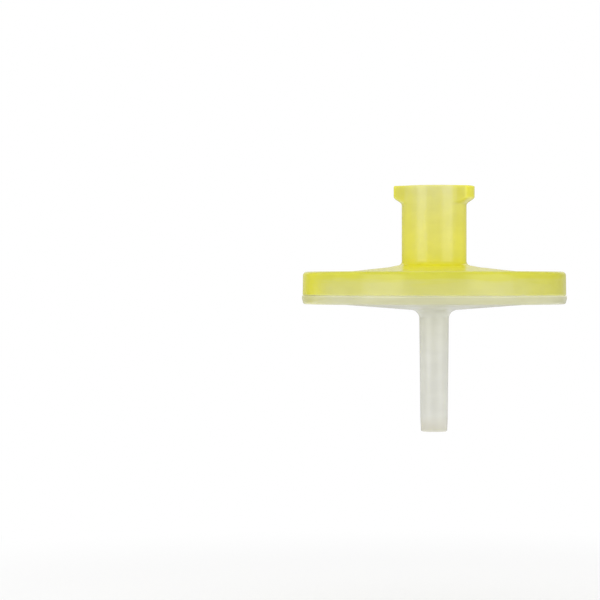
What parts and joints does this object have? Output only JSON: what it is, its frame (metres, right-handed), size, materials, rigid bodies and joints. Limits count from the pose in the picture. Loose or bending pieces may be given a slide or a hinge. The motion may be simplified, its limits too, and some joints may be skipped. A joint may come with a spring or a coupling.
{
  "type": "syringe filter",
  "caption": "Disposable disc filter for a syringe: a welded plastic housing with a lugged inlet socket on top, a membrane inside and a slim outlet tube below.",
  "frame": {"origin": "centre of the inlet mouth, on the flow axis, in the plane of the mouth", "axes": "+Z along the flow axis and out of the inlet, against the flow; +X through the middle of one lug"},
  "size_m": [0.0254, 0.0254, 0.0236],
  "materials": {
    "tinted_polypropylene": "translucent yellow polypropylene, injection moulded, semi-gloss",
    "membrane_film": "white microporous film, matt",
    "natural_polypropylene": "translucent natural polypropylene, injection moulded, semi-gloss"
  },
  "bodies": {
    "root": {"inlet_housing": "tinted_polypropylene", "membrane": "membrane_film", "outlet_housing": "natural_polypropylene"}
  },
  "joints": []
}
